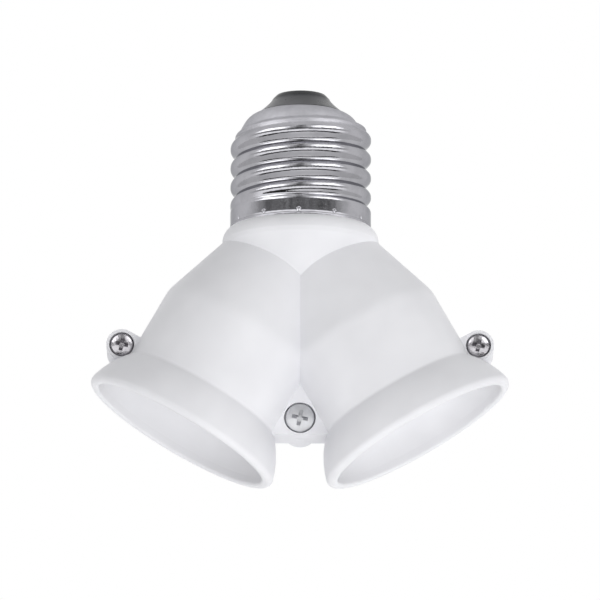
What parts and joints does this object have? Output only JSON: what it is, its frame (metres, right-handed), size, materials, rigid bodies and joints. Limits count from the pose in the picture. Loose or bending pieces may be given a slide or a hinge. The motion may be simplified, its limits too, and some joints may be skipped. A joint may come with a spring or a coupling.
{
  "type": "lamp socket adapter",
  "caption": "Y-shaped lamp socket adapter: a threaded screw cap on top of a white plastic body that splays into bell-mouthed screw sockets.",
  "frame": {"origin": "on the cap's axis where the metal skirt meets the plastic collar", "axes": "+Z along the cap's axis towards its tip, +X towards the right socket, the screw heads towards -Y"},
  "size_m": [0.0772, 0.0384, 0.0741],
  "materials": {
    "cap_metal": "bright drawn sheet, dull on the shoulder",
    "cap_insulation": "dark moulded insulation, glossy on top",
    "contact_metal": "drawn brass",
    "housing_plastic": "white heat-resistant plastic, satin",
    "screw_metal": "bright zinc-plated steel",
    "socket_metal": "bright drawn sheet",
    "base_moulding": "cream heat-resistant moulding",
    "lead_insulation": "heat-resistant sleeve",
    "spring_metal": "spring wire"
  },
  "bodies": {
    "adapter": {"cap_shell": "cap_metal", "cap_insulator": "cap_insulation", "cap_contact": "contact_metal", "front_housing": "housing_plastic", "rear_housing": "housing_plastic", "centre_screw": "screw_metal", "left_screw": "screw_metal", "right_screw": "screw_metal", "contact_strip": "contact_metal", "contact_lead": "lead_insulation", "left_socket_shell": "socket_metal", "left_socket_base": "base_moulding", "left_contact_guide": "contact_metal", "left_contact_spring": "spring_metal", "left_shell_lead": "lead_insulation", "right_socket_shell": "socket_metal", "right_socket_base": "base_moulding", "right_contact_guide": "contact_metal", "right_contact_spring": "spring_metal", "right_shell_lead": "lead_insulation"},
    "left_contact": {"left_contact_pin": "contact_metal"},
    "right_contact": {"right_contact_pin": "contact_metal"}
  },
  "joints": [
    {"name": "left_contact_press", "type": "slide", "parent": "adapter", "child": "left_contact", "axis": [0.4955, 0, 0.8686], "range_m": [0, 0.002], "stiffness_N_per_m": 700, "springref_m": -0.001, "deforming": ["left_contact_spring"]},
    {"name": "right_contact_press", "type": "slide", "parent": "adapter", "child": "right_contact", "axis": [-0.4955, 0, 0.8686], "range_m": [0, 0.002], "stiffness_N_per_m": 700, "springref_m": -0.001, "deforming": ["right_contact_spring"]}
  ]
}
